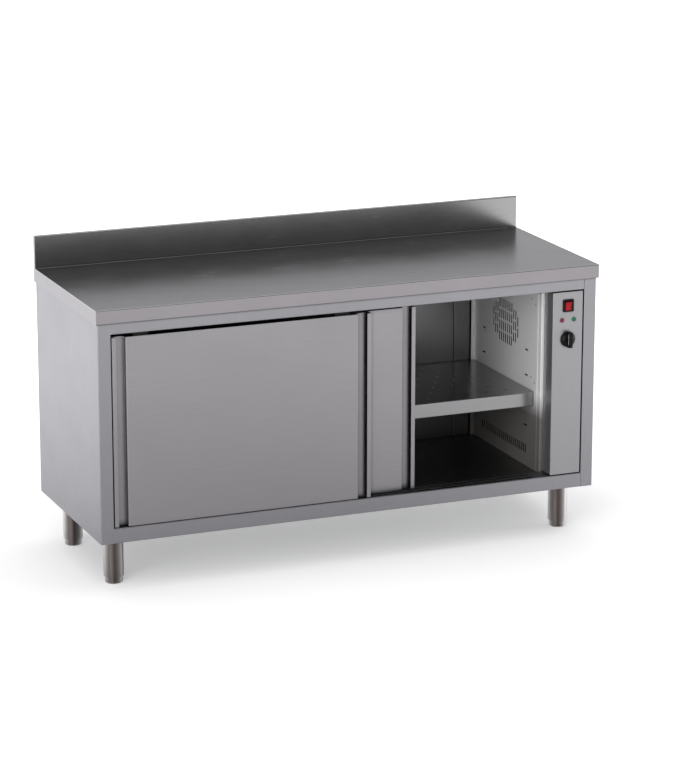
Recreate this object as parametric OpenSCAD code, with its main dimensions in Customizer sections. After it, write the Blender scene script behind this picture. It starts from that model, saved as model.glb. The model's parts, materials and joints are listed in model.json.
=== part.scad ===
// Plate warmer cabinet: a stainless hot cupboard with two sliding doors and a worktop.
// A fan behind the right inner wall blows warm air through the chamber.
//
// Every piece is drawn with x from the left side of the body, y from the front face
// of the body towards the back, and z from the ground up. placed() then moves it to
// the origin, which lies on the ground under the middle of the whole cabinet.

/* [Worktop] */
// Width of the worktop
top_w = 1600; // [1560:10:1700]
// Depth of the worktop with its upstand
top_d = 600; // [600:5:640]
// Height of the working surface above the ground
work_h = 850; // [845:5:880]
// Height of the folded edge round the worktop
skirt_h = 42; // [36:1:48]
// Height of the upstand above the working surface
upstand_h = 100; // [60:5:120]
// Thickness of the folded upstand from front to back
upstand_t = 15; // [12:1:20]
// Thickness of the worktop sheet
top_t = 1.5; // [1.2:0.1:2]
// How far the worktop stands proud of each side
side_overhang = 5; // [4:1:8]
// How far the worktop stands proud of the front
front_overhang = 7; // [5:1:10]

/* [Body] */
// Clear height under the body
leg_h = 150; // [140:5:170]
// Width of the upright front edges beside the opening
stile_w = 40; // [36:1:44]
// Height of the front rail below the doors
rail_h = 45; // [42:1:48]
// Distance from the working surface down to the top of the opening
opening_drop = 75; // [72:1:80]
// Thickness of the body and chamber sheets
skin_t = 1.2; // [1:0.1:1.5]
// Inside radius of every bend in the sheets
bend_r = 1.2; // [0.8:0.1:2]
// Depth of the heated chamber's back wall behind the front face
chamber_d = 535; // [520:1:540]

/* [Doors] */
// Width of each sliding door
door_w = 807; // [740:1:820]
// Thickness of each sliding door
door_t = 24; // [24:1:26]
// How far the rear door is slid from the left stile in the open position
rear_door_open = 154.5; // [60:0.5:250]
// Width of the lip beside each pull channel
pull_lip = 13; // [11:1:16]
// Width of each pull channel
pull_w = 29; // [24:1:34]
// Depth of each pull channel
pull_d = 15.8; // [13:0.2:18]
// Radius of the rollers that the doors hang on
roller_r = 10; // [9:0.5:10]

/* [Shelf] */
// Height of the shelf's upper face above the ground
shelf_z = 440; // [438:1:442]
// Height of the shelf's front lip
shelf_lip = 45; // [40:1:48]
// Distance between neighbouring holes in the shelf
hole_pitch = 65; // [60:1:80]
// Diameter of each hole in the shelf
hole_d = 10; // [6:1:16]

/* [Air grille] */
// Distance between neighbouring slots of the grille and the vent
slot_pitch = 14.4; // [13:0.1:15]
// Width of each slot
slot_w = 9; // [6:0.5:10]
// Height of each slot in the fan grille
slot_h = 30; // [24:1:31]
// Distance between the rows of slots in the fan grille
row_pitch = 35.5; // [34:0.5:38]
// Number of slots in the lower vent
vent_slots = 23; // [15:1:24]

/* [Controls] */
// Width of the control panel
panel_w = 101; // [98:1:104]
// How far the thermostat knob stands out from the body
knob_h = 21; // [20:1:26]
// Radius of the skirt of the thermostat knob
knob_r = 23.4; // [20:0.1:24]

/* [Legs] */
// Outer diameter of the leg tubes
leg_d = 60; // [50:1:64]
// Diameter of the levelling feet
foot_d = 52; // [42:1:54]
// Visible height of each foot below its leg tube
foot_h = 22; // [20:1:30]
// Distance of the leg axes from the sides
leg_x = 68; // [62:1:80]
// Distance of the leg axes from the front and the back
leg_y = 98; // [80:1:110]

/* [Hidden] */
$fn = 48;
bend_steps = 4;

steel = [0.62, 0.62, 0.63];
dark_steel = [0.42, 0.42, 0.44];
zinc = [0.70, 0.71, 0.72];
wool = [0.86, 0.80, 0.62];
black_plastic = [0.08, 0.08, 0.08];
white_plastic = [0.90, 0.90, 0.88];

// Outer faces of the body and the worktop
body_w = top_w - 2 * side_overhang;
body_back = top_d - front_overhang - 5;
top_back = top_d - front_overhang;
front_y = -(top_back - knob_h) / 2;
skirt_z = work_h - skirt_h;
body_z1 = work_h - top_t;
opening_z0 = leg_h + rail_h;
opening_z1 = work_h - opening_drop;

// Clearance of a shaft in its hole or of a cap, and the room a neighbour leaves inside a bend
running_gap = 0.05;
fillet = skin_t + bend_r + 0.1;

// Chamber walls: the faces that the warm air touches
sheet_back = body_back - 2 * skin_t;
chamber_x0 = stile_w + 15;
partition_x = body_w - stile_w - 3 - panel_w - 11;
floor_z = opening_z0 - 5;
ceiling_z = opening_z1 + 15;
base_z = leg_h + 15;

// Doors: two of the same size, one behind the other
door_gap = 3.5;
front_door_y = 3;
rear_door_y = front_door_y + door_t + 2.5;
sill_d = rear_door_y + door_t + 4.7;
jamb_y = sill_d + 0.8;
step_y = jamb_y + 23;
step_d = 1.5;
door_z0 = opening_z0 + 2;
door_z1 = opening_z1 - 11;
door_sheet = 1;
front_door_x = stile_w + door_gap;
rear_door_x = front_door_x + rear_door_open;
pull_edge = pull_lip + pull_w;
channel_back = pull_d + door_sheet;
door_inner_x = pull_edge + fillet;

// Door hardware, measured from the front face of its door
roller_inset = 90;
hanger_y = 9.5;
hanger_t = 2.5;
ledge_z = opening_z1 + 1;
track_t = 1.5;
track_z1 = ledge_z + 40;
roller_z = ledge_z + track_t + roller_r + 0.1;
roller_y0 = 15.6;
roller_w = 6.8;
axle_r = 3;
guide_inset = 60;
guide_y = door_t / 2;
guide_r = 4;
guide_slot = 9;

// Control panel and what it carries
panel_x1 = body_w - stile_w - 3;
panel_x0 = panel_x1 - panel_w;
panel_y = 1;
panel_z0 = opening_z0 + 3;
panel_z1 = opening_z1 - 4;
panel_mid = panel_x0 + panel_w / 2 + 0.5;
switch_z = work_h - 121;
lamp_z = work_h - 165.5;
knob_z = work_h - 226;
lamp_spacing = 40;

// Fan, air duct and heater behind the partition
fan_y = 310;
fan_z = 614.6;
duct_y0 = 100;
duct_y1 = 518;
duct_x1 = partition_x + 64.2;
vent_z = 244;
vent_y = 313;
bracket_slots_y = [157, 466];
bracket_slots_z = [320, 400, 480, 560];
shelf_y0 = 100;

function unit(v) = v / norm(v);
function left_of(v) = [-v[1], v[0]];
function turned(v, a) = [v[0] * cos(a) - v[1] * sin(a), v[0] * sin(a) + v[1] * cos(a)];
function turn(a, b) = atan2(a[0] * b[1] - a[1] * b[0], a * b);
function reversed(v) = [for (i = [len(v) - 1 : -1 : 0]) v[i]];

// Points of one bend, d to the left of the path, where the sheet is t thick
function bend(before, p, after, t, d) =
    let (
        a = unit(p - before),
        angle = turn(a, unit(after - p)),
        s = sign(angle),
        reach = s > 0 ? bend_r + t : bend_r,
        centre = p - a * reach * tan(abs(angle) / 2) + s * reach * left_of(a)
    )
    [for (k = [0 : bend_steps])
        centre - turned(left_of(a), angle * k / bend_steps) * s * (reach - s * d)];

// Line that runs d to the left of a path, with its corners rounded as bends
function bent_line(path, t, d) =
    let (last = len(path) - 1)
    concat(
        [path[0] + left_of(unit(path[1] - path[0])) * d],
        [for (i = [1 : 1 : last - 1]) each bend(path[i - 1], path[i], path[i + 1], t, d)],
        [path[last] + left_of(unit(path[last] - path[last - 1])) * d]
    );

// Section of a folded sheet: the path is its show face, the metal lies to the left of it
module fold(path, t = skin_t)
    polygon(concat(bent_line(path, t, 0), reversed(bent_line(path, t, t))));

module placed() translate([-body_w / 2, front_y, 0]) children();
module mirrored() translate([body_w, 0, 0]) mirror([1, 0, 0]) children();
module along_x(x0, x1) translate([x0, 0, 0]) rotate([90, 0, 90]) linear_extrude(x1 - x0) children();
module along_y(y0, y1) translate([0, y1, 0]) rotate([90, 0, 0]) linear_extrude(y1 - y0) children();
module along_z(z0, z1) translate([0, 0, z0]) linear_extrude(z1 - z0) children();
module box(from, to) translate(from) cube(to - from);
module rod_x(at, r, l) translate(at) rotate([0, 90, 0]) cylinder(r = r, h = l);
module rod_y(at, r, l) translate(at) rotate([-90, 0, 0]) cylinder(r = r, h = l);
module rod_z(at, r, l) translate(at) cylinder(r = r, h = l);
module rounded(w, h, r) {
    square([w - 2 * r, h], center = true);
    square([w, h - 2 * r], center = true);
    for (x = [-1, 1], y = [-1, 1]) translate([x * (w / 2 - r), y * (h / 2 - r)]) circle(r);
}
module at_legs()
    for (x = [leg_x, body_w - leg_x], y = [leg_y, body_back - leg_y]) translate([x, y, 0]) children();

// Worktop: one folded sheet with its upstand, closed by a plate at each end
worktop_path = [
    [body_back + 0.3, skirt_z], [top_back, skirt_z], [top_back, work_h + upstand_h],
    [top_back - upstand_t, work_h + upstand_h], [top_back - upstand_t, work_h],
    [-front_overhang, work_h], [-front_overhang, skirt_z], [-0.3, skirt_z]
];

module worktop() color(steel) placed() {
    along_x(-side_overhang, body_w + side_overhang) fold(worktop_path, top_t);
    for (x = [-side_overhang, body_w + side_overhang - top_t])
        along_x(x, x + top_t) polygon(bent_line(worktop_path, top_t, 0));
}

module worktop_stiffeners() color(zinc) placed()
    for (y = [150, 300, 450])
        along_x(60, body_w - 60)
            fold([
                [y - 35, body_z1 - top_t], [y - 20, body_z1 - top_t], [y - 20, skirt_z],
                [y + 20, skirt_z], [y + 20, body_z1 - top_t], [y + 35, body_z1 - top_t]
            ], top_t);

// Outer skins: each side is folded round to the front as a stile
module side_panel() {
    along_z(leg_h, body_z1)
        fold([
            [16, body_back - skin_t], [0, body_back - skin_t], [0, 0], [stile_w, 0], [stile_w, 24]
        ]);
    box([skin_t, 3, leg_h], [16, sheet_back - 1, leg_h + skin_t]);
}
module left_side_panel() color(steel) placed() side_panel();
module right_side_panel() color(steel) placed() mirrored() side_panel();

module back_panel() color(steel) placed() difference() {
    box([0, body_back - skin_t, leg_h], [body_w, body_back, body_z1]);
    for (i = [0 : 7], x = [body_w - 82, body_w - 46])
        translate([x, body_back - skin_t - 1, leg_h + 90 + 14 * i]) cube([26, skin_t + 2, 5]);
}

module top_rail() color(steel) placed()
    along_x(stile_w + 0.2, body_w - stile_w - 0.8)
        fold([[14, body_z1], [0, body_z1], [0, opening_z1], [9, opening_z1]]);

// Bottom rail: its top is the sill, with a slot for the guide pins of each door
module bottom_rail() color(steel) placed() difference() {
    along_x(stile_w + 0.2, body_w - stile_w - 0.2)
        fold([[sill_d, floor_z - 14], [sill_d, opening_z0], [0, opening_z0], [0, leg_h], [15, leg_h]]);
    for (y = [front_door_y, rear_door_y] + [guide_y, guide_y])
        box([front_door_x + guide_inset - 9, y - guide_slot / 2, opening_z0 - 2 * skin_t],
            [panel_x0 - door_gap - guide_inset + 9, y + guide_slot / 2, opening_z0 + 1]);
}

module base_pan() color(zinc) placed() difference() {
    union() {
        box([skin_t, skin_t, base_z - skin_t], [body_w - skin_t, sheet_back, base_z]);
        for (y = [skin_t, sheet_back - skin_t])
            box([stile_w + 1, y, leg_h + fillet], [body_w - stile_w - 1, y + skin_t, base_z - skin_t]);
        for (x = [skin_t, body_w - 2 * skin_t])
            box([x, 30, leg_h + fillet], [x + skin_t, sheet_back - 20, base_z - skin_t]);
    }
    for (x = [stile_w - 1.5, body_w - stile_w - 0.5]) box([x, 0, base_z - 2], [x + 2, 24.5, base_z + 1]);
    at_legs() leg_screw_places() rod_z([0, 0, base_z - 3], 3.3, 4);
    rod_z([gland_at[0], gland_at[1], base_z - 3], gland_r + 0.3, 4);
}

// Chamber: floor and ceiling run over the whole body, the walls stand between them
module chamber_floor() color(dark_steel) placed() difference() {
    along_x(skin_t, body_w - skin_t)
        fold([[sheet_back, floor_z], [sill_d, floor_z], [sill_d, floor_z - 14]]);
    rod_z([gland_at[0], gland_at[1], floor_z - 3], 14, 6);
}

module chamber_ceiling() color(dark_steel) placed()
    along_x(skin_t, body_w - skin_t)
        fold([
            [sill_d - 3.2, track_z1 - 2], [sill_d - 3.2, ceiling_z], [sheet_back, ceiling_z]
        ]);

module bracket_slots(x)
    for (y = bracket_slots_y, z = bracket_slots_z) box([x - 3, y - 11, z - 3], [x + 3, y + 11, z + 3]);

module fixing_holes(x)
    for (z = [225, 475, 722], s = [-1, 1]) rod_x([x - 3, 111 + 12.5 * s, z + 6.5 * s], 2.2, 6);

module left_inner_wall() color(dark_steel) placed() difference() {
    along_z(floor_z, ceiling_z)
        fold([
            [stile_w + 1, jamb_y], [chamber_x0, jamb_y], [chamber_x0, chamber_d], [stile_w + 1, chamber_d]
        ]);
    bracket_slots(chamber_x0);
    fixing_holes(chamber_x0);
}

module back_inner_wall() color(dark_steel) placed()
    along_z(floor_z, ceiling_z)
        fold([
            [chamber_x0 + 0.2, chamber_d + 12], [chamber_x0 + 0.2, chamber_d],
            [partition_x - 75, chamber_d], [partition_x - 75, chamber_d + 12]
        ]);

// Corner strip: stops short of the partition and leaves the dark air gap there
module back_corner_strip() color(dark_steel) placed()
    along_z(floor_z, ceiling_z)
        fold([
            [partition_x - 74.5, chamber_d + 12], [partition_x - 74.5, chamber_d],
            [partition_x - 18, chamber_d], [partition_x - 18, chamber_d + 28]
        ]);

// Fan grille: columns of 2, 3 or 4 slots that together come near a circle
grille_rows = [2, 3, 3, 4, 4, 4, 4, 4, 4, 4, 3, 3, 2];
module fan_grille()
    for (c = [0 : len(grille_rows) - 1])
        let (y = fan_y + (c - (len(grille_rows) - 1) / 2) * slot_pitch, rows = grille_rows[c])
            for (r = [0 : rows - 1])
                let (z = fan_z + (r - (rows - 1) / 2) * row_pitch)
                    box([partition_x - 2, y - slot_w / 2, z - slot_h / 2],
                        [partition_x + 4, y + slot_w / 2, z + slot_h / 2]);

module lower_vent()
    for (i = [0 : vent_slots - 1])
        let (y = vent_y + (i - (vent_slots - 1) / 2) * slot_pitch)
            box([partition_x - 2, y - slot_w / 2, vent_z - 13.5],
                [partition_x + 4, y + slot_w / 2, vent_z + 13.5]);

// The wall steps back a little near its front edge, where the doors slide past
module partition() color(steel) placed() difference() {
    along_z(floor_z, ceiling_z)
        fold([
            [partition_x - 13, chamber_d], [partition_x, chamber_d],
            [partition_x, step_y], [partition_x + step_d, step_y - 2 * step_d],
            [partition_x + step_d, jamb_y], [partition_x + 35, jamb_y]
        ]);
    fan_grille();
    lower_vent();
    bracket_slots(partition_x);
    fixing_holes(partition_x);
}

// Insulation: mineral wool slabs between the chamber and the outer skins
module left_insulation() color(wool) placed()
    difference() {
        box([skin_t, jamb_y + fillet, floor_z], [chamber_x0 - skin_t, chamber_d - fillet, ceiling_z]);
        for (y = bracket_slots_y, z = bracket_slots_z)
            box([chamber_x0 - 8, y - 11, z - 3], [chamber_x0, y + 11, z + 3]);
    }
module back_insulation() color(wool) placed()
    box([chamber_x0 + 0.2 + fillet, chamber_d + skin_t, floor_z],
        [partition_x - 75 - fillet, sheet_back, ceiling_z]);
module floor_insulation() color(wool) placed() difference() {
    box([skin_t + 1, sill_d + fillet, base_z], [gland_at[0] - 25, sheet_back, floor_z - skin_t]);
    at_legs() leg_screw_places() rod_z([0, 0, base_z - 1], 4, 9);
}

// Door track: one ledge for the rollers of each door, hung behind the top rail
module door_track() color(zinc) placed()
    along_x(stile_w + 1, panel_x0) {
        translate([skin_t, track_z1]) square([rear_door_y + door_t + track_t - skin_t, track_t]);
        translate([skin_t, track_z1]) square([track_t, 20]);
        for (y = [front_door_y, rear_door_y]) {
            translate([y + door_t, ledge_z]) square([track_t, track_z1 - ledge_z + track_t]);
            translate([y + 13.5, ledge_z]) square([door_t - 13.5, track_t]);
            translate([y + 13.5, ledge_z]) square([track_t, 4.5]);
        }
    }

module bottom_guide() color(zinc) placed()
    along_x(front_door_x + 20, panel_x0 - 20)
        for (y = [front_door_y, rear_door_y]) {
            translate([y + guide_y - 7, opening_z0 - 14]) square([14, skin_t]);
            for (side = [-7, 7 - skin_t])
                translate([y + guide_y + side, opening_z0 - 14]) square([skin_t, 14 - skin_t]);
        }

// Shelf: a folded tray, turned upside down, with staggered round holes
shelf_x0 = chamber_x0 + 2.5;
shelf_x1 = partition_x - 2.5;
shelf_side = 30;
module shelf_holes() {
    mid = (shelf_x0 + shelf_x1) / 2;
    row_gap = hole_pitch * sin(60);
    rows = 1 + floor((chamber_d - 40 - shelf_y0 - 50) / row_gap);
    for (r = [0 : rows - 1])
        let (n = floor((shelf_x1 - shelf_x0 - 60) / hole_pitch) - r % 2)
            for (i = [0 : n - 1])
                rod_z([mid + (i - (n - 1) / 2) * hole_pitch, shelf_y0 + 50 + r * row_gap, shelf_z - 3],
                    hole_d / 2, 6);
}
module shelf() color(steel) placed() difference() {
    union() {
        along_x(shelf_x0, shelf_x1)
            fold([
                [chamber_d - 2, shelf_z - shelf_side], [chamber_d - 2, shelf_z], [shelf_y0, shelf_z],
                [shelf_y0, shelf_z - shelf_lip], [shelf_y0 + 12, shelf_z - shelf_lip]
            ]);
        for (x = [shelf_x0, shelf_x1 - skin_t])
            box([x, shelf_y0 + 15, shelf_z - shelf_side], [x + skin_t, chamber_d - 5, shelf_z - skin_t]);
    }
    shelf_holes();
}

// Shelf bracket: hooks into a slot of the wall and carries the shelf's side lip
module shelf_bracket(y) {
    box([0, y - 10, shelf_z - shelf_side - 16], [2, y + 10, shelf_z - shelf_side]);
    box([0, y - 10, shelf_z - shelf_side - 2], [26, y + 10, shelf_z - shelf_side]);
    box([-6, y - 10, shelf_z - 41.5], [0.5, y + 10, shelf_z - 38.5]);
}
module shelf_brackets() color(zinc) placed()
    for (y = bracket_slots_y) {
        translate([chamber_x0, 0, 0]) shelf_bracket(y);
        translate([partition_x, 0, 0]) mirror([1, 0, 0]) shelf_bracket(y);
    }

// Air duct: a tray behind the partition that joins the fan to the lower vent
duct_in = partition_x + 2 * skin_t;
module air_duct() color(zinc) placed() difference() {
    along_z(floor_z, ceiling_z)
        fold([
            [duct_in, duct_y0 - 16], [duct_in, duct_y0], [duct_x1, duct_y0],
            [duct_x1, duct_y1], [duct_in, duct_y1], [duct_in, duct_y1 + 16]
        ]);
    rod_x([duct_x1 - 4, fan_y, fan_z], 9, 6);
    for (z = element_ends) rod_x([duct_x1 - 4, element_y1, z], element_r + 1.5, 6);
}

// Heating element: a metal tube in four runs, its ends brought out through the duct
element_r = 4.25;
element_x = partition_x + 32;
element_y0 = 160;
element_y1 = 455;
element_pitch = 44;
element_z0 = 310;
element_ends = [element_z0, element_z0 + 3 * element_pitch];
module half_ring() rotate_extrude(angle = 180) translate([element_pitch / 2, 0]) circle(r = element_r);
module heating_element() color(dark_steel) placed() {
    elbow = 16;
    for (i = [0 : 3]) {
        is_end = i == 0 || i == 3;
        y1 = is_end ? element_y1 - elbow : element_y1 - element_pitch;
        rod_y([element_x, element_y0, element_z0 + i * element_pitch], element_r, y1 - element_y0);
    }
    for (i = [0, 2])
        translate([element_x, element_y0, element_z0 + (i + 0.5) * element_pitch])
            rotate([0, 90, 180]) half_ring();
    translate([element_x, element_y1 - element_pitch, element_z0 + 1.5 * element_pitch])
        rotate([0, -90, 0]) half_ring();
    for (z = element_ends) {
        translate([element_x + elbow, element_y1 - elbow, z])
            rotate([0, 0, 90]) rotate_extrude(angle = 90) translate([elbow, 0]) circle(r = element_r);
        rod_x([element_x + elbow, element_y1, z], element_r, duct_x1 - element_x - elbow + 14);
        rod_x([duct_x1 + 14, element_y1, z], 2, 10);
    }
}

module element_brackets() color(zinc) placed()
    for (y = [200, 380]) difference() {
        union() {
            box([element_x - 8, y, element_z0 - 12],
                [duct_x1 - skin_t, y + 2, element_z0 + 3 * element_pitch + 12]);
            box([duct_x1 - skin_t - 2, y, element_z0 - 12],
                [duct_x1 - skin_t, y + 14, element_z0 + 3 * element_pitch + 12]);
        }
        for (i = [0 : 3]) rod_y([element_x, y - 1, element_z0 + i * element_pitch], element_r + 0.2, 4);
    }

// Fan: the motor sits outside the duct, its wheel inside the duct behind the grille
post_h = 8;
bracket_t = 2;
motor_x = duct_x1 + bracket_t + post_h;
motor_half = 36;
shaft_r = 4;
module fan_motor() color(black_plastic) placed() difference() {
    nose_h = 8;
    stack_h = 26;
    rear_x = motor_x + nose_h + stack_h;
    coil_h = 18;
    union() {
        rod_x([motor_x, fan_y, fan_z], 30, nose_h);
        box([motor_x + nose_h, fan_y - motor_half, fan_z - motor_half],
            [rear_x, fan_y + motor_half, fan_z + motor_half]);
        rod_x([rear_x, fan_y, fan_z], 28, 12);
        rod_x([rear_x + 12, fan_y, fan_z], 12, 5);
        box([motor_x + 2, fan_y - 20, fan_z - motor_half - coil_h],
            [rear_x + 6, fan_y + 20, fan_z - motor_half]);
    }
    rod_x([motor_x - 1, fan_y, fan_z], shaft_r + running_gap, 31);
}
module motor_bracket() color(zinc) placed() difference() {
    plate_half = [55, 40];
    union() {
        box([duct_x1, fan_y - plate_half[0], fan_z - plate_half[1]],
            [duct_x1 + bracket_t, fan_y + plate_half[0], fan_z + plate_half[1]]);
        for (y = [-22, 22], z = [-14, 14])
            rod_x([duct_x1 + bracket_t, fan_y + y, fan_z + z], 4, post_h);
    }
    rod_x([duct_x1 - 1, fan_y, fan_z], 12, 5);
}

// Fan wheel: curved blades between a back plate and a ring, on its own shaft
wheel_r = 78;
wheel_eye_r = 58;
wheel_t = 1.5;
wheel_back = 14;
blade_h = 30;
blade_r = 32;
blade_centre = 38;
wheel_blades = 14;
module fan_blade()
    intersection() {
        translate([0, blade_centre, 0]) difference() {
            cylinder(r = blade_r, h = blade_h);
            translate([0, 0, -1]) cylinder(r = blade_r - wheel_t, h = blade_h + 2);
        }
        translate([0, blade_centre + 6, 0]) cube([40, blade_r, blade_h]);
    }
module fan_impeller() color(zinc) placed()
    translate([duct_x1 - wheel_back, fan_y, fan_z]) rotate([0, -90, 0]) {
        into_motor = post_h + bracket_t + 29;
        difference() {
            cylinder(r = wheel_r, h = wheel_t);
            for (i = [0 : 5]) rotate([0, 0, 60 * i]) translate([24, 0, -1]) cylinder(r = 5, h = 4);
        }
        cylinder(r = 11, h = 22);
        translate([0, 0, -wheel_back - into_motor]) cylinder(r = shaft_r, h = into_motor + wheel_back + 26);
        translate([0, 0, blade_h + 1]) difference() {
            cylinder(r = wheel_r, h = wheel_t);
            translate([0, 0, -1]) cylinder(r = wheel_eye_r, h = 4);
        }
        for (i = [0 : wheel_blades - 1])
            rotate([0, 0, 360 * i / wheel_blades]) translate([0, 0, wheel_t - 0.3]) fan_blade();
    }

// Wiring side: terminal block on the duct and the cable entry under the cabinet
gland_at = [body_w - 58, 400];
terminals = 5;
terminal_pitch = 13.6;
terminal_size = [14, 11, 28];
block_at = [430, 225];
module terminal_block() color(white_plastic) placed() difference() {
    base_t = 8;
    first_y = block_at[0] + 2;
    low_z = block_at[1] + 3;
    face_x = duct_x1 + base_t;
    union() {
        box([duct_x1, block_at[0], block_at[1]], [face_x, block_at[0] + 70, block_at[1] + 34]);
        for (i = [0 : terminals - 1])
            translate([face_x, first_y + terminal_pitch * i, low_z]) cube(terminal_size);
    }
    for (i = [0 : terminals - 1], z = [low_z + 7, low_z + 21])
        rod_x([face_x + 4, first_y + terminal_size[1] / 2 + terminal_pitch * i, z], 3, terminal_size[0]);
}

// Cable gland: a threaded body, a nut on each side of the base and a domed cap below
gland_r = 10;
cord_r = 5;
module cable_gland() color(black_plastic) placed() translate(concat(gland_at, [0])) difference() {
    cap_z = base_z - 22;
    union() {
        translate([0, 0, base_z - 14]) cylinder(r = gland_r, h = 22);
        translate([0, 0, base_z - skin_t - 5]) cylinder(r = 14, h = 5, $fn = 6);
        translate([0, 0, base_z]) cylinder(r = 13, h = 4, $fn = 6);
        translate([0, 0, cap_z]) cylinder(r = gland_r + 1.5, h = 12);
    }
    translate([0, 0, cap_z - 1]) cylinder(r = cord_r, h = 40);
}

// Control panel: a folded cover with a deep return beside the doors
module control_panel() color(steel) placed() difference() {
    union() {
        along_z(panel_z0, panel_z1)
            fold([[panel_x0, jamb_y - 0.5], [panel_x0, panel_y], [panel_x1, panel_y], [panel_x1, 26]]);
        for (z = [panel_z0, panel_z1 - skin_t])
            box([panel_x0 + skin_t, panel_y + 2, z], [panel_x1 - skin_t, 20, z + skin_t]);
    }
    translate([panel_mid - switch_cut[0] / 2, 0, switch_z - switch_cut[1] / 2])
        cube([switch_cut[0], 5, switch_cut[1]]);
    for (s = [-1, 1]) rod_y([panel_mid + s * lamp_spacing / 2, 0, lamp_z], 5, 5);
    rod_y([panel_mid, 0, knob_z], 5.5, 5);
}
module panel_brackets() color(zinc) placed() {
    box([panel_x0 + 20, 20, opening_z0], [panel_x1 - 20, 21.5, opening_z0 + 22]);
    box([panel_x0 + 20, 21.5, opening_z0], [panel_x1 - 20, 38, opening_z0 + 1.5]);
    box([panel_x0 + 20, 20, opening_z1 - 24], [panel_x1 - 20, 21.5, opening_z1 + 20]);
    box([panel_x0 + 20, skin_t, opening_z1 + 18.5], [panel_x1 - 20, 20, opening_z1 + 20]);
}

// Rocker switch: the housing clips into the panel, the rocker tips about a pin along x
rocker_pivot = [panel_mid, panel_y + 6, switch_z];
rocker_tilt = 8;
bezel = [35, 38];
switch_cut = [27, 32];
switch_d = 26;
blade = [0.8, 9, 6.4];
well = [20.4, 29.2];
pin_r = 1.5;
module switch_housing() color(black_plastic) placed() difference() {
    body = switch_cut - [0.6, 0.6];
    back_y = panel_y + switch_d;
    union() {
        along_y(panel_y - 3, panel_y) translate([panel_mid, switch_z]) rounded(bezel[0], bezel[1], 2.5);
        box([panel_mid - body[0] / 2, panel_y, switch_z - body[1] / 2],
            [panel_mid + body[0] / 2, back_y, switch_z + body[1] / 2]);
        for (x = [-9, 0, 9], z = [-8, 8])
            translate([panel_mid + x - blade[0] / 2, back_y, switch_z + z - blade[2] / 2]) cube(blade);
    }
    box([panel_mid - well[0] / 2, panel_y - 4, switch_z - well[1] / 2],
        [panel_mid + well[0] / 2, panel_y + 20, switch_z + well[1] / 2]);
    rod_x([panel_mid - 12, rocker_pivot[1], switch_z], pin_r + running_gap, 24);
}
module switch_rocker() color([0.8, 0.1, 0.12]) placed()
    translate(rocker_pivot) rotate([rocker_tilt, 0, 0]) {
        along_x(-9.6, 9.6)
            polygon([[-10.8, 13.2], [-9.2, 0], [-10.8, -13.2], [-3, -12.6], [4, -5], [4, 5], [-3, 12.6]]);
        rod_x([-11.6, 0, 0], pin_r, 23.2);
    }

module pilot_lamp(x, tint) color(tint) placed() translate([panel_mid + x, panel_y, lamp_z])
    rotate([90, 0, 0]) {
        cylinder(r = 6.6, h = 1.6);
        translate([0, 0, 1.6]) cylinder(r1 = 5, r2 = 3, h = 2.4);
        translate([0, 0, -24]) cylinder(r = 4.8, h = 24);
        translate([0, 0, -skin_t - 4]) cylinder(r = 7.5, h = 4, $fn = 6);
    }
module red_pilot_lamp() pilot_lamp(-lamp_spacing / 2, [0.62, 0.12, 0.3]);
module green_pilot_lamp() pilot_lamp(lamp_spacing / 2, [0.16, 0.55, 0.34]);

// Thermostat: the body is fixed behind the panel, the knob turns its spindle
spindle_r = 3;
module thermostat() color(white_plastic) placed() difference() {
    half = [20, 18];
    union() {
        box([panel_mid - half[0], panel_y + skin_t + 1.5, knob_z - half[1]],
            [panel_mid + half[0], panel_y + 32, knob_z + half[1]]);
        rod_y([panel_mid, panel_y + skin_t, knob_z], 9, 2);
        rod_y([panel_mid, panel_y - 0.2, knob_z], 5.3, 3);
    }
    rod_y([panel_mid, -1, knob_z], spindle_r + running_gap, 26);
}

// Knob: a round skirt, a cone and an upright grip with chamfered edges
grip_w = 15;
grip_chamfer = 1.2;
skirt_t = 2.5;
cone_z = 3;
cone_h = 6;
module knob_grip()
    rotate([90, 0, 0]) linear_extrude(2 * knob_r, center = true)
        polygon([
            [-grip_w / 2, 1], [grip_w / 2, 1], [grip_w / 2, knob_h - grip_chamfer],
            [grip_w / 2 - grip_chamfer, knob_h], [grip_chamfer - grip_w / 2, knob_h],
            [-grip_w / 2, knob_h - grip_chamfer]
        ]);
module thermostat_knob() color(black_plastic) placed() translate([panel_mid, 0, knob_z])
    rotate([90, 0, 0]) {
        difference() {
            union() {
                translate([0, 0, cone_z - skirt_t]) cylinder(r = knob_r, h = skirt_t);
                translate([0, 0, cone_z]) cylinder(r1 = knob_r, r2 = 14, h = cone_h);
                intersection() {
                    cylinder(r = knob_r, h = knob_h);
                    knob_grip();
                }
            }
            translate([0, 0, -1]) cylinder(r = 7, h = 5);
        }
        translate([0, 0, -panel_y - 18]) cylinder(r = spindle_r, h = panel_y + 24);
    }

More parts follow.
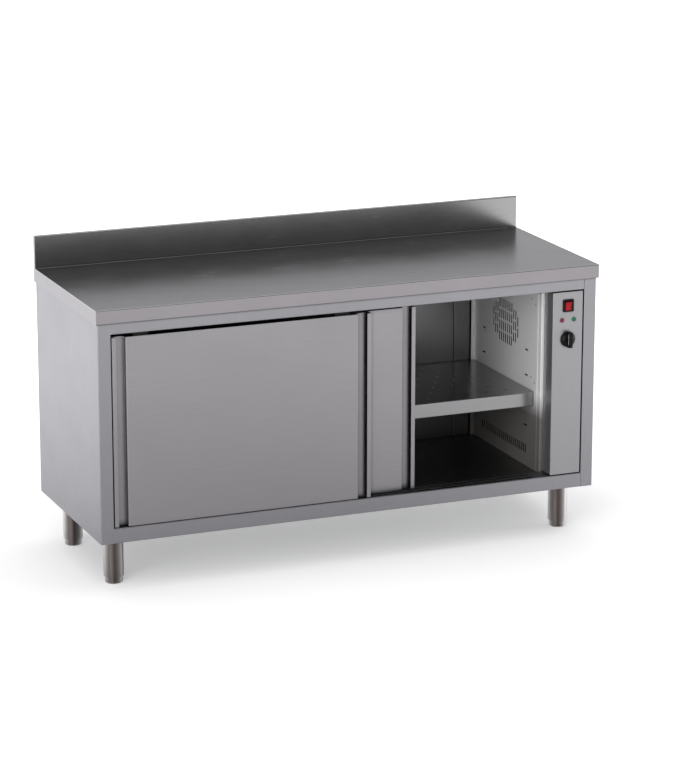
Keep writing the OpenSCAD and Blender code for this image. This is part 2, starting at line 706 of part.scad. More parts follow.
// Legs: a plate under the base, a tube, a threaded plug and a levelling foot
plate_t = 3;
plate_z = base_z - skin_t - plate_t;
module leg_screw_places() for (x = [-42, 42], y = [-42, 42]) translate([x, y, 0]) children();
module leg_plates() color(zinc) placed() at_legs() difference() {
    translate([-52, -52, plate_z]) cube([104, 104, plate_t]);
    leg_screw_places() rod_z([0, 0, plate_z - 1], 3.3, plate_t + 2);
}
module leg_screws() color(zinc) placed() at_legs() leg_screw_places() {
    rod_z([0, 0, plate_z - 4], 5, 4);
    rod_z([0, 0, plate_z], 3, plate_t + skin_t + 6);
}
module leg_tubes() color(steel) placed() at_legs() difference() {
    rod_z([0, 0, foot_h], leg_d / 2, plate_z - foot_h);
    rod_z([0, 0, foot_h - 1], leg_d / 2 - 1.5, plate_z - foot_h + 2);
}
stem_r = 6;
plug_z = foot_h + 12;
module leg_plugs() color(black_plastic) placed() at_legs() difference() {
    rod_z([0, 0, plug_z], leg_d / 2 - 1.5, 16);
    rod_z([0, 0, plug_z - 1], stem_r + running_gap, 18);
}
module foot(x, y) color(steel) placed() translate([x, y, 0]) {
    rotate_extrude() polygon(concat(
        [[0, 0]],
        [for (a = [0 : 15 : 90]) [foot_d / 2 - 5 + 5 * sin(a), 5 - 5 * cos(a)]],
        [[foot_d / 2, plug_z - 1], [0, plug_z - 1]]
    ));
    rod_z([0, 0, plug_z - 2], stem_r, 62);
}
module foot_front_left() foot(leg_x, leg_y);
module foot_front_right() foot(body_w - leg_x, leg_y);
module foot_back_left() foot(leg_x, body_back - leg_y);
module foot_back_right() foot(body_w - leg_x, body_back - leg_y);

// Doors: the skin is folded into a pull channel near each end. The channel runs on
// behind the lip, so that fingers can hook round the lip.
module door_at(at) placed() translate([at[0], at[1], 0]) children();
front_door = [front_door_x, front_door_y];
rear_door = [rear_door_x, rear_door_y];

pull_path = [
    [pull_lip, door_sheet], [door_sheet, door_sheet], [door_sheet, pull_d],
    [pull_edge, pull_d], [pull_edge, 0]
];
function other_end(path) = [for (p = reversed(path)) [door_w - p[0], p[1]]];
module door_skin() along_z(door_z0, door_z1) fold(concat(pull_path, other_end(pull_path)), door_sheet);

// Door back: a pan whose top and bottom caps leave the pull channels open
cap_front = channel_back + running_gap;
cap_half = [[door_sheet / 2, cap_front], [door_inner_x, cap_front], [door_inner_x, door_sheet]];
cap_back = [[door_w - door_sheet / 2, door_t - door_sheet / 2], [door_sheet / 2, door_t - door_sheet / 2]];
module door_back() {
    along_z(door_z0, door_z1)
        fold([[door_w, channel_back], [door_w, door_t], [0, door_t], [0, channel_back]], door_sheet);
    for (z = [door_z0, door_z1 - door_sheet])
        along_z(z, z + door_sheet) polygon(concat(cap_half, other_end(cap_half), cap_back));
}
module door_core()
    box([door_inner_x, door_sheet, door_z0 + door_sheet],
        [door_w - door_inner_x, door_t - door_sheet, door_z1 - door_sheet]);

module at_rollers() for (x = [roller_inset, door_w - roller_inset]) translate([x, 0, 0]) children();

// Hanger: an angle bracket on the door's top cap, with the roller's axle and two screws
hanger_w = 48;
hanger_top_w = 28;
module door_hangers() at_rollers() {
    foot_half = hanger_w / 2;
    top_half = hanger_top_w / 2;
    top_z = roller_z + roller_r;
    screw_head = [3.5, 2.5];
    box([-foot_half, 5, door_z1], [foot_half, 20, door_z1 + hanger_t]);
    along_y(hanger_y, hanger_y + hanger_t)
        polygon([[-foot_half, door_z1], [foot_half, door_z1], [top_half, top_z], [-top_half, top_z]]);
    rod_y([0, hanger_y, roller_z], axle_r, roller_y0 + roller_w + 0.5 - hanger_y);
    for (x = [-16, 16]) rod_z([x, 15.5, door_z1 + hanger_t], screw_head[0], screw_head[1]);
}

// Guide pins: they run in the slots of the sill
guide_h = 10;
module door_guides()
    for (x = [guide_inset, door_w - guide_inset])
        rod_z([x, guide_y, door_z0 - guide_h], guide_r - 0.2, guide_h);

// Roller with a hub that keeps it off the hanger
hub_r = 5;
module roller(door, x) color(white_plastic) door_at(door) translate([x, roller_y0, roller_z])
    rotate([-90, 0, 0]) difference() {
        union() {
            cylinder(r = roller_r, h = roller_w);
            translate([0, 0, -0.6]) cylinder(r = hub_r, h = roller_w + 0.8);
        }
        translate([0, 0, -1]) cylinder(r = axle_r + running_gap, h = roller_w + 2);
    }

module front_door_skin() color(steel) door_at(front_door) door_skin();
module front_door_back() color(zinc) door_at(front_door) door_back();
module front_door_core() color(wool) door_at(front_door) door_core();
module front_door_hangers() color(zinc) door_at(front_door) door_hangers();
module front_door_guides() color(white_plastic) door_at(front_door) door_guides();
module rear_door_skin() color(steel) door_at(rear_door) door_skin();
module rear_door_back() color(zinc) door_at(rear_door) door_back();
module rear_door_core() color(wool) door_at(rear_door) door_core();
module rear_door_hangers() color(zinc) door_at(rear_door) door_hangers();
module rear_door_guides() color(white_plastic) door_at(rear_door) door_guides();
module front_left_roller() roller(front_door, roller_inset);
module front_right_roller() roller(front_door, door_w - roller_inset);
module rear_left_roller() roller(rear_door, roller_inset);
module rear_right_roller() roller(rear_door, door_w - roller_inset);

worktop();
worktop_stiffeners();
left_side_panel();
right_side_panel();
back_panel();
top_rail();
bottom_rail();
base_pan();
chamber_floor();
chamber_ceiling();
left_inner_wall();
back_inner_wall();
back_corner_strip();
partition();
left_insulation();
back_insulation();
floor_insulation();
door_track();
bottom_guide();
shelf();
shelf_brackets();
air_duct();
heating_element();
element_brackets();
fan_motor();
motor_bracket();
fan_impeller();
terminal_block();
cable_gland();
control_panel();
panel_brackets();
switch_housing();
switch_rocker();
red_pilot_lamp();
green_pilot_lamp();
thermostat();
thermostat_knob();
leg_plates();
leg_screws();
leg_tubes();
leg_plugs();
foot_front_left();
foot_front_right();
foot_back_left();
foot_back_right();
front_door_skin();
front_door_back();
front_door_core();
front_door_hangers();
front_door_guides();
rear_door_skin();
rear_door_back();
rear_door_core();
rear_door_hangers();
rear_door_guides();
front_left_roller();
front_right_roller();
rear_left_roller();
rear_right_roller();
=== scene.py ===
"""Looks of the plate warmer cabinet: materials, small fittings, studio, lamps and camera.

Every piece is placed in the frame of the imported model, in metres. The front faces -Y.
"""

import json
import math

import bmesh
import bpy
from mathutils import Matrix, Vector


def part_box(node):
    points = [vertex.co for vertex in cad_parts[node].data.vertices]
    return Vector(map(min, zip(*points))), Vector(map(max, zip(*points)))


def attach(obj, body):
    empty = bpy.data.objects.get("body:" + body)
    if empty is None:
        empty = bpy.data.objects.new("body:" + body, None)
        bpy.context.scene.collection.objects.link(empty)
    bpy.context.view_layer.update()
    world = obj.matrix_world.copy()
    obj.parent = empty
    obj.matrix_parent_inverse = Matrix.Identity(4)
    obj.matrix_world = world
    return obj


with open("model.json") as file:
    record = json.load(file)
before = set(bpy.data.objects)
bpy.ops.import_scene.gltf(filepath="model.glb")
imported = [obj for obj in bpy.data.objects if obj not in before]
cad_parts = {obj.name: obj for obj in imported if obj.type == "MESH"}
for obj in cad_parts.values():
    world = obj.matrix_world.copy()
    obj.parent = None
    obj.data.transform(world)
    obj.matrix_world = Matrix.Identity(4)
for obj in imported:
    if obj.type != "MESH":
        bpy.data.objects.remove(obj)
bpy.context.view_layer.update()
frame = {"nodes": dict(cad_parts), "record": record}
nodes = frame["nodes"]

MM = 0.001
MM_PER_METRE = 1000

# Size of one streak of the brushed grain along x, y and z, in mm. Real brushing is finer
# than a picture shows, so its streaks are drawn coarser.
ALONG_X = (90, 1.1, 1.1)
ALONG_Z = (1.1, 1.1, 90)

# Size of the smears of satin sheet, and of its slow waves, along x, y and z, in mm
SMEAR_MM = (140, 140, 140)
WAVE_MM = (420, 420, 420)

# Radius of a fold in thin sheet, in mm
FOLD_MM = 0.3

# Values between which most of a noise pattern lies
NOISE_SPAN = (0.3, 0.7)

# Share of open space around a point at which the painted corner shade is darkest, and at which there is
# none
CORNER_SHADE_SPAN = (0.38, 0.9)

# Rays for each point of a rounded edge, and of a corner with painted shade
EDGE_RAYS = 6
CORNER_RAYS = 4

# Width of the painted shade that darkens a seam or fold, its width in the deep pull channels
# of the doors, where it paints their dark recess, and its colour
SEAM_SHADE_MM = 7
PULL_CHANNEL_SHADE_MM = 24
SEAM_SHADE_TONE = "#242323"

# How far from an inner corner painted shade darkens the galvanised sheet, and its colour
CORNER_SHADE_REACH_MM = 50
CORNER_SHADE_TONE = "#1c1b1a"

# Zinc flakes along a metre of galvanised sheet
FLAKES_PER_METRE = 110.0

# Height in metres at which the painted shade on the lower fan wall ends, and the length of its fade
LOW_SHADE_ENDS = (0.44, 0.08)

# Height in metres at which the skirt of the worktop meets its flat top, and its fade; below it the skirt
# takes a darker tone, painted shade
SKIRT_SHADE_ENDS = (0.848, 0.002)

# Slope at which the painted sheen on the side of a leg tube starts, and at which it is palest
TUBE_SHEEN_SPAN = (0.05, 0.5)

# Turn that sets the long side of a highlight upright
QUARTER_TURN = 0.25


def linear(hex_colour):
    """Turns an sRGB hex colour into linear red, green, blue and alpha."""

    def channel(text):
        value = int(text, 16) / 255
        return value / 12.92 if value <= 0.04045 else ((value + 0.055) / 1.055) ** 2.4

    digits = hex_colour.lstrip("#")
    return tuple(channel(digits[i : i + 2]) for i in (0, 2, 4)) + (1.0,)


def set_inputs(tree, node, values):
    """Links inputs of a node to outputs of others, or sets them to numbers or hex colours."""
    for name, value in values.items():
        if isinstance(value, bpy.types.NodeSocket):
            tree.links.new(value, node.inputs[name])
        elif isinstance(value, str):
            node.inputs[name].default_value = linear(value)
        else:
            node.inputs[name].default_value = value


def add_node(tree, kind, output, values=None, **settings):
    """Adds a shader node with its settings and inputs, and returns one of its outputs."""
    node = tree.nodes.new(kind)
    for name, setting in settings.items():
        setattr(node, name, setting)
    set_inputs(tree, node, values or {})
    return node.outputs[output]


def start_material(name):
    """A material with only a Principled shader; returns it, its tree and the shader."""
    material = bpy.data.materials.new(name)
    material.use_nodes = True
    tree = material.node_tree
    shader = tree.nodes["Principled BSDF"]
    return material, tree, shader


def pattern(tree, size_mm, detail=3.0, seed=0.0):
    """Noise from 0 to 1 whose features are size_mm long along x, y and z."""
    values = {
        "Vector": add_node(tree, "ShaderNodeTexCoord", "Object"),
        "Scale": [MM_PER_METRE / size for size in size_mm],
        "Location": (seed, seed, seed),
    }
    scaled = add_node(tree, "ShaderNodeMapping", "Vector", values)
    values = {"Vector": scaled, "Scale": 1.0, "Detail": detail}
    return add_node(tree, "ShaderNodeTexNoise", "Fac", values)


def uneven_gloss(tree, by, smooth, rough, span=NOISE_SPAN):
    """Roughness that goes from smooth to rough as a pattern goes through its span."""
    values = {"Value": by, "From Min": span[0], "From Max": span[1], "To Min": smooth, "To Max": rough}
    return add_node(tree, "ShaderNodeMapRange", "Result", values)


def two_tones(tree, by, tone, other_tone, span=NOISE_SPAN):
    """Colour that goes from one tone to the other as a pattern goes through its span."""
    values = {"Value": by, "From Min": span[0], "From Max": span[1]}
    share = add_node(tree, "ShaderNodeMapRange", "Result", values)
    values = {"Factor": share, "A": tone, "B": other_tone}
    return add_node(tree, "ShaderNodeMix", "Result", values, data_type="RGBA")


def painted_corner_shade(tree, reach_mm, tone, colour):
    """Colour that falls to a dark tone in corners and gaps, up to reach_mm from them: painted shade."""
    values = {"Distance": reach_mm * MM}
    kind = "ShaderNodeAmbientOcclusion"
    open_share = add_node(tree, kind, "AO", values, samples=CORNER_RAYS)
    return two_tones(tree, open_share, tone, colour, CORNER_SHADE_SPAN)


def other_tone_below(tree, height, fade, tone, colour):
    """Colour that has another tone below a height in metres, with a fade up to it."""
    place = add_node(tree, "ShaderNodeTexCoord", "Object")
    z = add_node(tree, "ShaderNodeSeparateXYZ", "Z", {"Vector": place})
    return two_tones(tree, z, tone, colour, (height - fade, height))


def worked_surface(tree, edge_mm, reliefs=()):
    """Normal that rounds sharp folds, as bent sheet and mouldings have, and then raises
    the surface by each pattern, as deep as the mm given with it."""
    values = {"Radius": edge_mm * MM}
    normal = add_node(tree, "ShaderNodeBevel", "Normal", values, samples=EDGE_RAYS)
    for height, depth_mm in reliefs:
        values = {"Height": height, "Distance": depth_mm * MM, "Normal": normal}
        normal = add_node(tree, "ShaderNodeBump", "Normal", values)
    return normal


def stainless(name, grain_mm, tone, worn_tone, rough, metallic=1.0, seam_shade_mm=SEAM_SHADE_MM, skirt_shade_tone=None):
    """Satin stainless sheet. The grain gives streaked gloss along its long side, the slow
    waves bend reflections as real sheet does, faint smears vary the gloss, and painted
    shade darkens the folds and seams. A skirt tone paints shade on the hanging edge of the
    worktop, which gives it the look of the sheets below it."""
    material, tree, shader = start_material(name)
    grain = pattern(tree, grain_mm, detail=5.0)
    smears = pattern(tree, SMEAR_MM, detail=4.0, seed=3.0)
    waves = pattern(tree, WAVE_MM, detail=1.0, seed=7.0)
    brushed = two_tones(tree, grain, tone, worn_tone)
    if skirt_shade_tone:
        brushed = other_tone_below(tree, *SKIRT_SHADE_ENDS, skirt_shade_tone, brushed)
    streaked = uneven_gloss(tree, grain, smooth=0.93 * rough, rough=1.07 * rough)
    smeared = uneven_gloss(tree, smears, smooth=-0.015, rough=0.025)
    # Folds and seams are darkened with painted shade
    values = {
        "Base Color": painted_corner_shade(tree, seam_shade_mm, SEAM_SHADE_TONE, brushed),
        "Roughness": add_node(tree, "ShaderNodeMath", "Value", {0: streaked, 1: smeared}, operation="ADD"),
        "Normal": worked_surface(tree, edge_mm=FOLD_MM, reliefs=[(waves, 0.35), (grain, 0.005)]),
        "Metallic": metallic,
    }
    set_inputs(tree, shader, values)
    return material


def shaded_fan_wall_sheet():
    """Blasted stainless sheet of the fan wall: matt, pale as a blasted sheet is and paler
    still with painted light, and darker below the shelf with painted shade. Its grit is
    drawn coarser than the real one, so that it shows."""
    material, tree, shader = start_material("matt blasted stainless sheet")
    grit = pattern(tree, size_mm=(1.5, 1.5, 1.5))
    # Pale tone, partly painted light, and below the shelf a darker tone, painted shade
    pale = two_tones(tree, grit, "#efeff0", "#e9e9ea")
    values = {
        "Base Color": other_tone_below(tree, *LOW_SHADE_ENDS, "#716e6c", pale),
        "Roughness": uneven_gloss(tree, grit, smooth=0.5, rough=0.58),
        "Normal": worked_surface(tree, edge_mm=FOLD_MM, reliefs=[(grit, 0.004)]),
        "Metallic": 0.3,
    }
    set_inputs(tree, shader, values)
    return material


def polished_tube():
    """Polished stainless tube. It was polished around, so each light is drawn out into an
    upright streak. Its sides are painted paler than its middle: a painted reflection."""
    material, tree, shader = start_material("polished leg tube")
    grain = pattern(tree, ALONG_Z, detail=4.0)
    facing = add_node(tree, "ShaderNodeLayerWeight", "Facing", {"Blend": 0.5})
    around = add_node(tree, "ShaderNodeTangent", "Tangent", direction_type="RADIAL", axis="Z")
    values = {
        # Sides paler than the middle: painted reflection
        "Base Color": two_tones(tree, facing, "#5b5351", "#d8d5d4", TUBE_SHEEN_SPAN),
        "Roughness": uneven_gloss(tree, grain, smooth=0.26, rough=0.32),
        "Normal": worked_surface(tree, edge_mm=0.4, reliefs=[(grain, 0.004)]),
        "Tangent": around,
        "Anisotropic": 0.85,
        "Anisotropic Rotation": QUARTER_TURN,
        "Metallic": 1.0,
    }
    set_inputs(tree, shader, values)
    return material


def galvanised_sheet():
    """Galvanised sheet: flakes of different greys, dull beside the stainless parts, and
    darkened in its inner corners with painted shade."""
    material, tree, shader = start_material("galvanised sheet")
    place = add_node(tree, "ShaderNodeTexCoord", "Object")
    values = {"Vector": place, "Scale": FLAKES_PER_METRE}
    flakes = add_node(tree, "ShaderNodeTexVoronoi", "Color", values)
    shade = add_node(tree, "ShaderNodeSeparateColor", "Red", {"Color": flakes})
    values = {"Factor": shade, "A": "#484b4d", "B": "#5c5f62"}
    flaked = add_node(tree, "ShaderNodeMix", "Result", values, data_type="RGBA")
    # Inner corners are darkened with painted shade
    values = {
        "Base Color": painted_corner_shade(tree, CORNER_SHADE_REACH_MM, CORNER_SHADE_TONE, flaked),
        "Roughness": uneven_gloss(tree, shade, smooth=0.34, rough=0.52, span=(0, 1)),
        "Normal": worked_surface(tree, edge_mm=0.5),
        "Metallic": 1.0,
    }
    set_inputs(tree, shader, values)
    return material


def moulded(name, tone, worn_tone, rough, shine=0.5):
    """Moulded plastic: soft edges, slightly uneven gloss and a spark texture, drawn coarser
    than the real one so that it shows. Filled black plastic mirrors little, so its shine
    is below the typical 0.5."""
    material, tree, shader = start_material(name)
    texture = pattern(tree, size_mm=(0.8, 0.8, 0.8), detail=2.0)
    patches = pattern(tree, size_mm=(18, 18, 18), seed=5.0)
    values = {
        "Base Color": two_tones(tree, patches, tone, worn_tone),
        "Roughness": uneven_gloss(tree, patches, smooth=0.9 * rough, rough=1.2 * rough),
        "Normal": worked_surface(tree, edge_mm=0.5, reliefs=[(texture, 0.02)]),
        "Specular IOR Level": shine,
    }
    set_inputs(tree, shader, values)
    return material


def lens(name, tone, deep_tone, shine):
    """Clear coloured lens: glossy, and darker towards its rim where more plastic is seen."""
    material, tree, shader = start_material(name)
    ripples = pattern(tree, size_mm=(2.5, 2.5, 2.5), detail=1.0)
    facing = add_node(tree, "ShaderNodeLayerWeight", "Facing", {"Blend": 0.35})
    values = {"Factor": facing, "A": tone, "B": deep_tone}
    deepened = add_node(tree, "ShaderNodeMix", "Result", values, data_type="RGBA")
    values = {
        "Base Color": deepened,
        "Roughness": uneven_gloss(tree, ripples, smooth=0.12, rough=0.22),
        "Normal": worked_surface(tree, edge_mm=0.6, reliefs=[(ripples, 0.05)]),
        "Specular IOR Level": shine,
    }
    set_inputs(tree, shader, values)
    return material


def mineral_wool():
    """Mineral wool slab: matted fibres with pale and brown patches."""
    material, tree, shader = start_material("mineral wool slab")
    fibres = pattern(tree, size_mm=(14, 3, 1.2), detail=6.0)
    patches = pattern(tree, size_mm=(60, 60, 60), detail=2.0, seed=2.0)
    values = {
        "Base Color": two_tones(tree, patches, "#b9a56a", "#d3c493"),
        "Roughness": uneven_gloss(tree, fibres, smooth=0.85, rough=1.0),
        "Normal": worked_surface(tree, edge_mm=2.0, reliefs=[(fibres, 1.2)]),
    }
    set_inputs(tree, shader, values)
    return material


def heated_tube():
    """Heater tube: steel that heat has browned unevenly along its length."""
    material, tree, shader = start_material("heat-browned tube")
    tint = pattern(tree, size_mm=(35, 35, 35))
    values = {
        "Base Color": two_tones(tree, tint, "#4a4038", "#6b6662"),
        "Roughness": uneven_gloss(tree, tint, smooth=0.35, rough=0.6),
        "Normal": worked_surface(tree, edge_mm=0.4, reliefs=[(tint, 0.05)]),
        "Metallic": 1.0,
    }
    set_inputs(tree, shader, values)
    return material


MATERIALS = {
    # The worktop's darker skirt tone is painted shade on its hanging edge
    "worktop_steel": stainless(
        "worktop stainless sheet", ALONG_X, "#9a999a", "#959495", rough=0.24, skirt_shade_tone="#898689"
    ),
    "body_steel": stainless("body stainless sheet", ALONG_Z, "#949397", "#8f8e92", rough=0.34),
    # The doors' wide reach of painted shade darkens their pull channels
    "door_steel": stainless(
        "door stainless sheet", ALONG_X, "#979598", "#929093", rough=0.34, seam_shade_mm=PULL_CHANNEL_SHADE_MM
    ),
    "panel_steel": stainless(
        "panel stainless sheet", ALONG_Z, "#99989a", "#949395", rough=0.32, metallic=0.75
    ),
    # The chamber sheet is toned darker than the outer sheets: painted shade of the chamber's inside
    "chamber_steel": stainless("bright chamber sheet", ALONG_Z, "#727273", "#6d6d6e", rough=0.3),
    "partition_steel": shaded_fan_wall_sheet(),
    "shelf_steel": stainless("bright shelf sheet", ALONG_X, "#929192", "#8d8c8d", rough=0.2),
    "leg_steel": polished_tube(),
    "galvanised_steel": galvanised_sheet(),
    "mineral_wool": mineral_wool(),
    "white_plastic": moulded("white nylon", "#d8d7d2", "#cfcdc6", rough=0.45),
    "black_plastic": moulded("black switch moulding", "#070708", "#0c0c0d", rough=0.3, shine=0.12),
    "knob_plastic": moulded("black knob moulding", "#070708", "#0e0e0f", rough=0.36, shine=0.14),
    "rocker_red": lens("clear red rocker", "#b40f1d", "#6c0811", shine=0.2),
    "lamp_red": lens("clear red lamp", "#82183f", "#34081a", shine=0.3),
    "lamp_green": lens("clear green lamp", "#1e7a50", "#08341f", shine=0.3),
    "motor_paint": moulded("black motor enamel", "#101011", "#1a1a1b", rough=0.5),
    "element_steel": heated_tube(),
}

# Slot of each CAD node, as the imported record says
for entry in frame["record"]["subparts"]:
    node_mesh = nodes[entry["node"]].data
    node_mesh.materials.clear()
    node_mesh.materials.append(MATERIALS[entry["material_slot"]])


def piece_from(bm, name, body, slot, smooth=True):
    """Makes a bmesh into a piece that rides on a body and takes a slot's material."""
    mesh = bpy.data.meshes.new(name)
    bm.to_mesh(mesh)
    bm.free()
    for face in mesh.polygons:
        face.use_smooth = smooth
    piece = bpy.data.objects.new(name, mesh)
    bpy.context.scene.collection.objects.link(piece)
    piece.data.materials.append(MATERIALS[slot])
    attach(piece, body)


def revolve(bm, profile_mm, place, steps):
    """Turns a profile of (radius, height) points in mm about the z axis of place."""
    rings = []
    for radius, height in [(r * MM, h * MM) for r, h in profile_mm]:
        ring = []
        for k in range(steps):
            angle = 2 * math.pi * k / steps
            point = place @ Vector((radius * math.cos(angle), radius * math.sin(angle), height))
            ring.append(bm.verts.new(point))
        rings.append(ring)
    for lower, upper in zip(rings, rings[1:]):
        for k in range(steps):
            after = (k + 1) % steps
            bm.faces.new((lower[k], lower[after], upper[after], upper[k]))
    bm.faces.new(rings[-1])
    bm.faces.new(reversed(rings[0]))


def facing_place(x, y, z, direction):
    """Place of a round piece whose z axis is turned towards a direction."""
    return Matrix.Translation((x, y, z)) @ Vector(direction).to_track_quat("Z", "Y").to_matrix().to_4x4()


def plate(bm, low, high):
    """A flat box between two corners."""
    middle = (Vector(low) + Vector(high)) / 2
    size = Vector(high) - Vector(low)
    place = Matrix.Translation(middle) @ Matrix.Diagonal((*size, 1.0))
    bmesh.ops.create_cube(bm, size=1.0, matrix=place)


def chamfered(bm, width_mm):
    """Takes the sharp edges off what was drawn so far."""
    bmesh.ops.bevel(bm, geom=bm.edges[:], offset=width_mm * MM, segments=2, affect="EDGES")


# Sides of a round head
HEAD_STEPS = 20

# Domed rivets that hold the inner walls: a slanting pair at each height, beside the front
# edge. Each rivet of a pair lies half a step from the pair's middle, along and up.
RIVET_MM = [(3.0, 0), (3.0, 0.2), (2.6, 0.7), (1.6, 1.1), (0.4, 1.2)]
RIVET_HEIGHTS = (0.225, 0.475, 0.722)
RIVETS_FROM_FRONT = 0.052
RIVET_HALF_STEP = (0.0125, 0.0065)

# How far the rear fold of the fan wall reaches into the chamber
FAN_WALL_FOLD = 0.013


def wall_rivets(name, wall_x, facing):
    """Rivet heads on an inner wall; facing is +1 or -1 along x."""
    bm = bmesh.new()
    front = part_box("partition")[0].y
    back_step, up_step = RIVET_HALF_STEP
    for height in RIVET_HEIGHTS:
        for side in (-1, 1):
            y = front + RIVETS_FROM_FRONT + back_step * side
            place = facing_place(wall_x, y, height + up_step * side, (facing, 0, 0))
            revolve(bm, RIVET_MM, place, HEAD_STEPS)
    piece_from(bm, name, "cabinet", "leg_steel")


wall_rivets("partition_rivets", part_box("partition")[0].x + FAN_WALL_FOLD, -1)
wall_rivets("left_wall_rivets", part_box("left_inner_wall")[1].x, 1)

# Ground welds that close the seam between the left stile and the two rails
WELD_FROM_LEFT_MM = (37.6, 40.2)
WELD_DEPTH_MM = 1.2


def stile_weld(name, rail):
    """Fills the seam at the left end of a rail, flush with the sheets."""
    bm = bmesh.new()
    side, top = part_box("left_side_panel")[0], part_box(rail)[1].z
    left, right = (side.x + offset * MM for offset in WELD_FROM_LEFT_MM)
    plate(bm, (left, side.y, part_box(rail)[0].z), (right, side.y + WELD_DEPTH_MM * MM, top))
    piece_from(bm, name, "cabinet", "body_steel", smooth=False)


stile_weld("top_left_weld", "top_rail")
stile_weld("bottom_left_weld", "bottom_rail")

# Pan-head screws that hold the back panel to the folded edges of the side panels
SCREW_MM = [(3.8, 0), (3.8, 0.9), (3.2, 1.7), (2.0, 2.1), (1.9, 1.2), (0.3, 1.0)]
SCREW_FROM_SIDE = 0.008
SCREW_FROM_END = 0.03
SCREW_ROWS = 5


def back_panel_screws():
    """Screw heads down both edges of the back panel."""
    bm = bmesh.new()
    low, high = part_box("back_panel")
    first = low.z + SCREW_FROM_END
    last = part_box("worktop")[0].z - SCREW_FROM_END
    for x in (low.x + SCREW_FROM_SIDE, high.x - SCREW_FROM_SIDE):
        for row in range(SCREW_ROWS):
            z = first + row * (last - first) / (SCREW_ROWS - 1)
            revolve(bm, SCREW_MM, facing_place(x, high.y, z, (0, 1, 0)), HEAD_STEPS)
    piece_from(bm, "back_panel_screws", "cabinet", "leg_steel")


back_panel_screws()

# Pale pointer line on the knob's grip and its index mark on the panel, in mm from the knob's
# middle. The line lies on the left chamfer of the grip, where it is also a painted highlight.
POINTER_HIGHLIGHT_X_MM = (-7.4, -6.7)
POINTER_HIGHLIGHT_DEPTH_MM = (0.1, 0.9)
POINTER_HIGHLIGHT_Z_MM = (-13.0, 19.5)
POINTER_HIGHLIGHT_CHAMFER_MM = 0.15
MARK_MM = [(1.5, 0), (1.5, 0.1), (1.2, 0.15)]
MARK_RIGHT_MM = 2.0
MARK_ABOVE_MM = 29.0
MARK_STEPS = 24


def knob_marks():
    """A pale line let into the grip, a pointer that is also a painted highlight on the grip's left
    chamfer, and the printed dot that it is read against.
    """
    low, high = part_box("thermostat_knob")
    middle = Vector(((low.x + high.x) / 2, low.y, (low.z + high.z) / 2))
    corners = [
        (middle.x + x * MM, middle.y + y * MM, middle.z + z * MM)
        for x, y, z in zip(POINTER_HIGHLIGHT_X_MM, POINTER_HIGHLIGHT_DEPTH_MM, POINTER_HIGHLIGHT_Z_MM)
    ]
    bm = bmesh.new()
    plate(bm, *corners)
    chamfered(bm, POINTER_HIGHLIGHT_CHAMFER_MM)
    piece_from(bm, "knob_pointer_highlight", "knob", "white_plastic", smooth=False)
    bm = bmesh.new()
    mark_x = middle.x + MARK_RIGHT_MM * MM
    panel_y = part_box("control_panel")[0].y
    mark_z = middle.z + MARK_ABOVE_MM * MM
    revolve(bm, MARK_MM, facing_place(mark_x, panel_y, mark_z, (0, -1, 0)), MARK_STEPS)
    piece_from(bm, "knob_index_mark", "cabinet", "black_plastic")


knob_marks()

# Studio floor: its side in metres, the place that its white glow is measured from, the
# distances at which the glow starts and is full, and the weaker glow that only the camera
# sees near the cabinet, which makes the shadow lighter
FLOOR_SIZE = 60.0
GLOW_CENTRE = (-0.5, -0.9, 0.0)
GLOW_SPAN = (0.8, 3.4)
SHADOW_GLOW = 0.35

# Studio room: its pale side lies behind the cabinet and to its right. The span is how far
# towards that side a ray points where the room is darkest, and where it is palest.
PALE_DIRECTION = (0.6, 0.8, 0.0)
ROOM_DARK = "#706e6e"
ROOM_PALE = "#cdcdcf"
ROOM_SPAN = (-0.6, 0.7)

# Point that every lamp is aimed at
MIDDLE = (0.0, 0.0, 0.5)


def floor_glow(tree):
    """How strongly the floor glows: fully white far off, where it is seen directly, in
    metal or through glass, and weakly near the cabinet, where only the camera sees it."""
    camera_ray = add_node(tree, "ShaderNodeLightPath", "Is Camera Ray")
    seen = camera_ray
    for other_ray in ("Is Glossy Ray", "Is Transmission Ray"):
        values = {0: seen, 1: add_node(tree, "ShaderNodeLightPath", other_ray)}
        seen = add_node(tree, "ShaderNodeMath", "Value", values, operation="MAXIMUM")
    values = {0: add_node(tree, "ShaderNodeTexCoord", "Object"), 1: GLOW_CENTRE}
    distance = add_node(tree, "ShaderNodeVectorMath", "Value", values, operation="DISTANCE")
    values = {"Value": distance, "From Min": GLOW_SPAN[0], "From Max": GLOW_SPAN[1]}
    far = add_node(tree, "ShaderNodeMapRange", "Result", values)
    background = add_node(tree, "ShaderNodeMath", "Value", {0: seen, 1: far}, operation="MULTIPLY")
    values = {0: camera_ray, 1: SHADOW_GLOW}
    near = add_node(tree, "ShaderNodeMath", "Value", values, operation="MULTIPLY")
    return add_node(tree, "ShaderNodeMath", "Value", {0: background, 1: near}, operation="MAXIMUM")


def pale_floor():
    """White floor. It glows more with its distance, as the bright background, and near the
    cabinet it keeps the cabinet's shadow."""
    bm = bmesh.new()
    bmesh.ops.create_grid(bm, x_segments=1, y_segments=1, size=FLOOR_SIZE / 2)
    mesh = bpy.data.meshes.new("studio_floor")
    bm.to_mesh(mesh)
    bm.free()
    floor = bpy.data.objects.new("studio_floor", mesh)
    bpy.context.scene.collection.objects.link(floor)
    material, tree, shader = start_material("pale studio floor")
    tree.nodes.remove(shader)
    values = {"Color": "#ffffff", "Strength": floor_glow(tree)}
    glow = add_node(tree, "ShaderNodeEmission", "Emission", values)
    lit = add_node(tree, "ShaderNodeBsdfDiffuse", "BSDF", {"Color": "#e6e6e6"})
    both = add_node(tree, "ShaderNodeAddShader", "Shader", {0: glow, 1: lit})
    set_inputs(tree, tree.nodes["Material Output"], {"Surface": both})
    mesh.materials.append(material)


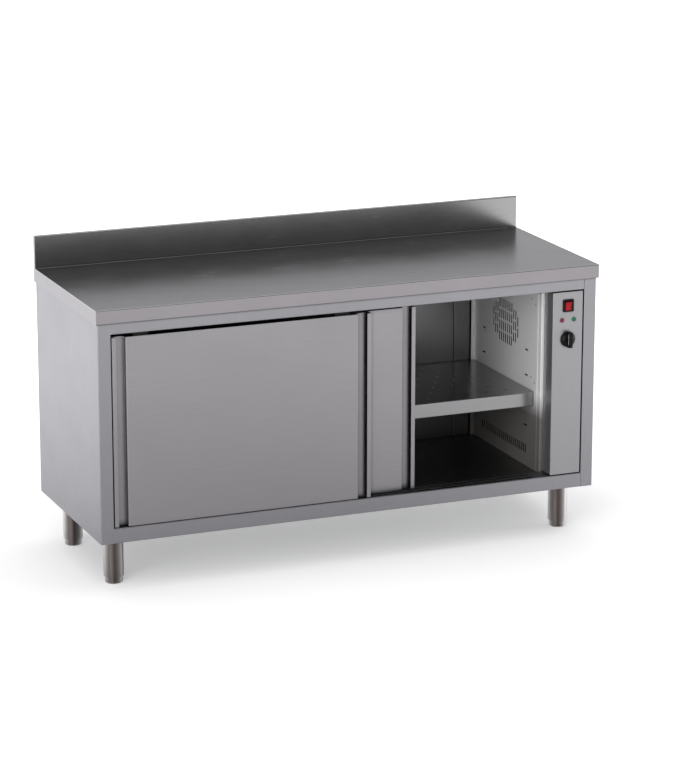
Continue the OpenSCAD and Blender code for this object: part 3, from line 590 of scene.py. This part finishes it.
def studio_room():
    """World: a plain room, pale behind the cabinet and to its right, dark before it. Seen
    directly it is white, as the background."""
    world = bpy.data.worlds.new("studio room")
    bpy.context.scene.world = world
    world.use_nodes = True
    tree = world.node_tree
    values = {0: add_node(tree, "ShaderNodeTexCoord", "Generated"), 1: PALE_DIRECTION}
    paleness = add_node(tree, "ShaderNodeVectorMath", "Value", values, operation="DOT_PRODUCT")
    room = two_tones(tree, paleness, ROOM_DARK, ROOM_PALE, ROOM_SPAN)
    camera_ray = add_node(tree, "ShaderNodeLightPath", "Is Camera Ray")
    values = {"Factor": camera_ray, "A": room, "B": "#ffffff"}
    colour = add_node(tree, "ShaderNodeMix", "Result", values, data_type="RGBA")
    set_inputs(tree, tree.nodes["Background"], {"Color": colour, "Strength": 1.0})


def soft_lamp(name, place, width, height, power, tint="#ffffff"):
    """Soft box aimed at the middle of the cabinet; sizes in metres, power in watts."""
    data = bpy.data.lights.new(name, "AREA")
    data.shape = "RECTANGLE"
    data.size = width
    data.size_y = height
    data.energy = power
    data.color = linear(tint)[:3]
    lamp = bpy.data.objects.new(name, data)
    lamp.location = place
    lamp.rotation_euler = (Vector(MIDDLE) - Vector(place)).to_track_quat("-Z", "Y").to_euler()
    bpy.context.scene.collection.objects.link(lamp)


pale_floor()
studio_room()
soft_lamp("key_softbox", (-3.6, -4.2, 5.0), 5.0, 5.0, 150)
soft_lamp("top_softbox", (0.5, 0.4, 5.5), 6.0, 6.0, 150)
soft_lamp("fill_softbox", (-4.2, -4.5, 1.6), 4.0, 3.0, 170)
soft_lamp("back_softbox", (-4.6, 8.5, 1.6), 3.5, 2.5, 55, "#a6c9ff")
soft_lamp("side_softbox", (4.5, -1.0, 0.8), 2.0, 1.6, 35)

# Camera, solved from the photo: its place, its angles in degrees, its focal length in
# pixels of the photo, and how far it sees in metres
CAMERA_PLACE = (-3.447196, -8.526287, 2.946776)
CAMERA_TILT = 74.894
CAMERA_HEADING = -22.615
CAMERA_ROLL = 0.099
FOCAL_PIXELS = 3122.228
PICTURE_HEIGHT = 780
SENSOR_MM = 36.0
FARTHEST_SEEN = 100.0


def turn(degrees, axis):
    """Rotation about an axis."""
    return Matrix.Rotation(math.radians(degrees), 4, axis)


camera_data = bpy.data.cameras.new("camera")
camera_data.sensor_fit = "AUTO"
camera_data.sensor_width = SENSOR_MM
camera_data.lens = FOCAL_PIXELS / PICTURE_HEIGHT * SENSOR_MM
camera_data.clip_end = FARTHEST_SEEN
camera = bpy.data.objects.new("camera", camera_data)
aim = turn(CAMERA_HEADING, "Z") @ turn(CAMERA_TILT, "X")
camera.matrix_world = Matrix.Translation(CAMERA_PLACE) @ aim @ turn(CAMERA_ROLL, "Z")
bpy.context.scene.collection.objects.link(camera)
bpy.context.scene.camera = camera
bpy.context.scene.view_settings.view_transform = "Standard"
